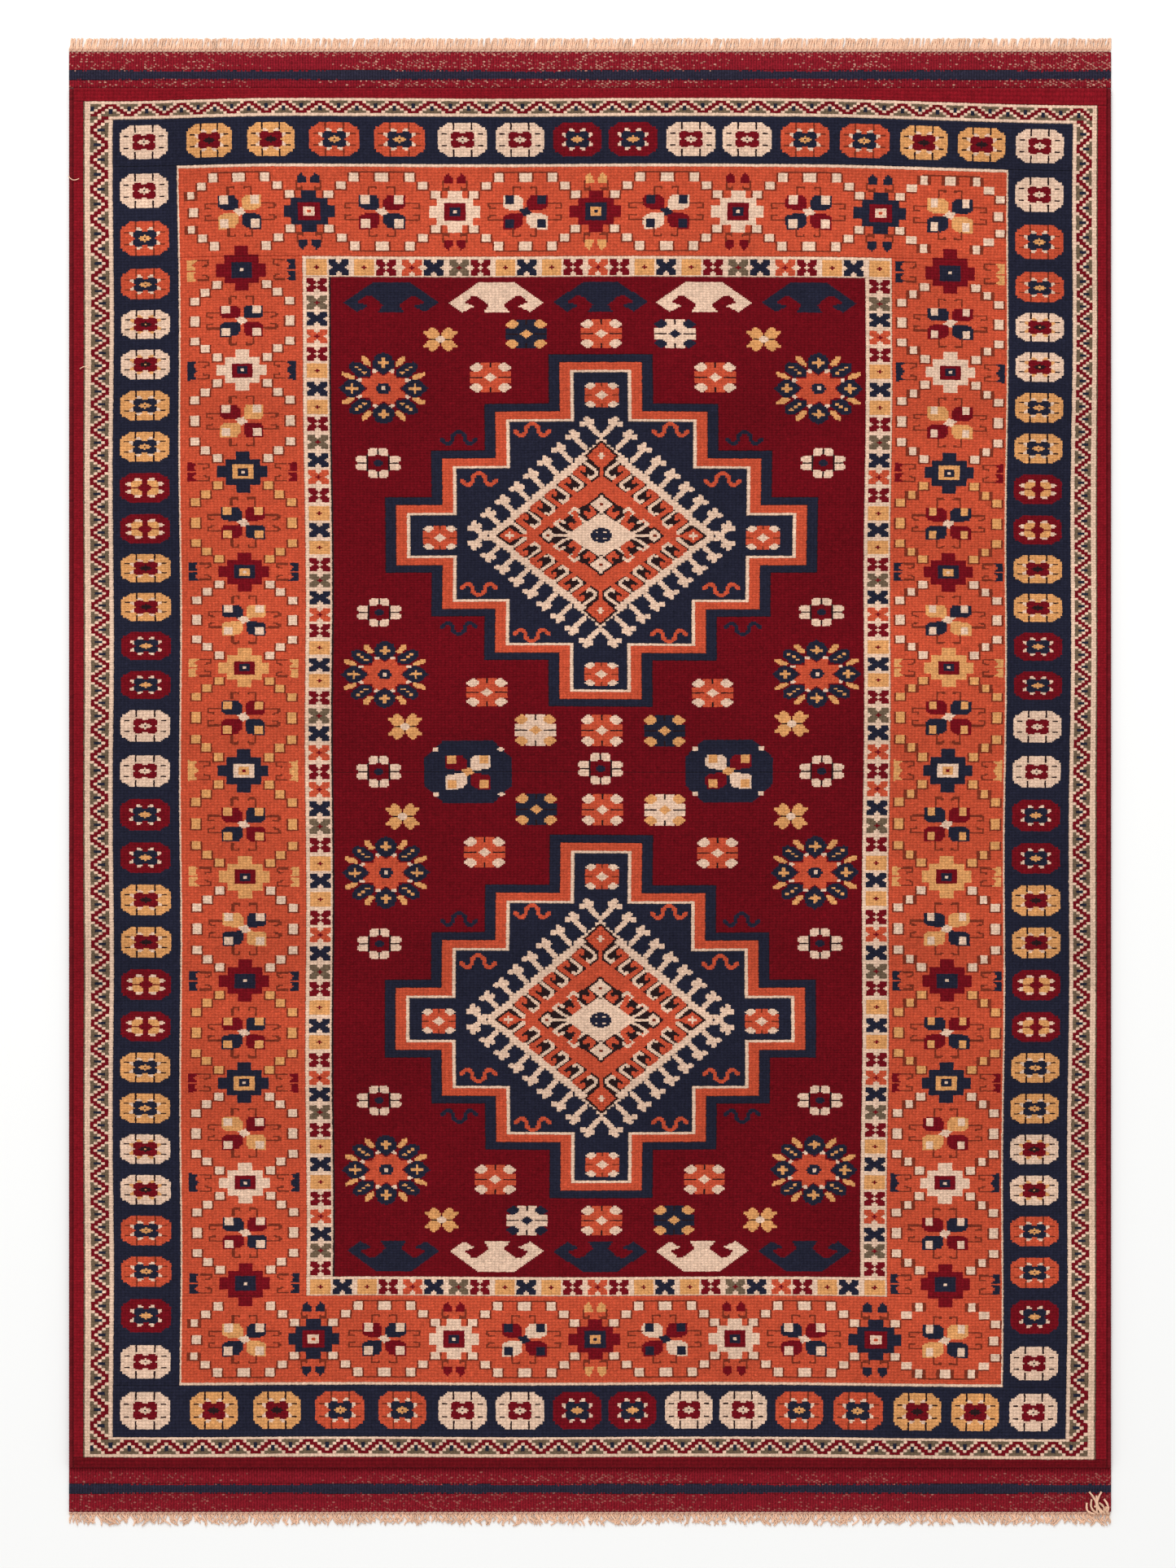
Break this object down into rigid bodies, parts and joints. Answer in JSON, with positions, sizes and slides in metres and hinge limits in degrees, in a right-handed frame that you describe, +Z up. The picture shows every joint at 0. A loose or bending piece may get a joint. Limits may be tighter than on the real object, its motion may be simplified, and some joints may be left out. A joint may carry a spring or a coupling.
{
  "type": "area rug",
  "caption": "Rectangular hand-knotted wool area rug with two stepped medallions, nested borders, flat-woven ends and short fringes, lying flat.",
  "frame": {"origin": "on the floor under the middle of the rug, fringes included", "axes": "+Z up out of the pile, +Y along the rug towards its far end, +X across it to the right"},
  "size_m": [1.28, 1.828, 0.0093],
  "materials": {
    "ground": "plain-woven wool warps and wefts with the backs of the knots",
    "warp_cord": "undyed twisted warp ends, cream",
    "flatweave_madder": "weft-faced flat weave in madder red wool, pale warps showing as flecks",
    "flatweave_navy": "weft-faced flat weave in navy wool",
    "selvedge": "warps overcast with madder red wool",
    "madder_pile": "clipped knotted wool pile, matt",
    "guard_pile": "clipped knotted wool pile, ivory with small coloured figures",
    "navy_pile": "clipped knotted wool pile, navy with coloured rosettes",
    "terracotta_pile": "clipped knotted wool pile, terracotta with coloured figures"
  },
  "bodies": {
    "root": {"ground_weave": "ground", "fringe_far": "warp_cord", "twining_far": "warp_cord", "flatweave_outer_far": "flatweave_madder", "flatweave_stripe_far": "flatweave_navy", "flatweave_inner_far": "flatweave_madder", "fringe_near": "warp_cord", "twining_near": "warp_cord", "flatweave_outer_near": "flatweave_madder", "flatweave_stripe_near": "flatweave_navy", "flatweave_inner_near": "flatweave_madder", "selvedge_left": "selvedge", "selvedge_right": "selvedge", "edge_band_far": "madder_pile", "edge_band_near": "madder_pile", "edge_band_left": "madder_pile", "edge_band_right": "madder_pile", "zigzag_guard_far": "guard_pile", "zigzag_guard_near": "guard_pile", "zigzag_guard_left": "guard_pile", "zigzag_guard_right": "guard_pile", "rosette_border_far": "navy_pile", "rosette_border_near": "navy_pile", "rosette_border_left": "navy_pile", "rosette_border_right": "navy_pile", "lattice_border_far": "terracotta_pile", "lattice_border_near": "terracotta_pile", "lattice_border_left": "terracotta_pile", "lattice_border_right": "terracotta_pile", "dice_guard_far": "guard_pile", "dice_guard_near": "guard_pile", "dice_guard_left": "guard_pile", "dice_guard_right": "guard_pile", "field_far": "madder_pile", "medallion_outline_far": "navy_pile", "medallion_band_far": "terracotta_pile", "medallion_ground_far": "navy_pile", "medallion_diamond_far": "guard_pile", "medallion_heart_far": "terracotta_pile", "field_near": "madder_pile", "medallion_outline_near": "navy_pile", "medallion_band_near": "terracotta_pile", "medallion_ground_near": "navy_pile", "medallion_diamond_near": "guard_pile", "medallion_heart_near": "terracotta_pile"}
  },
  "joints": []
}
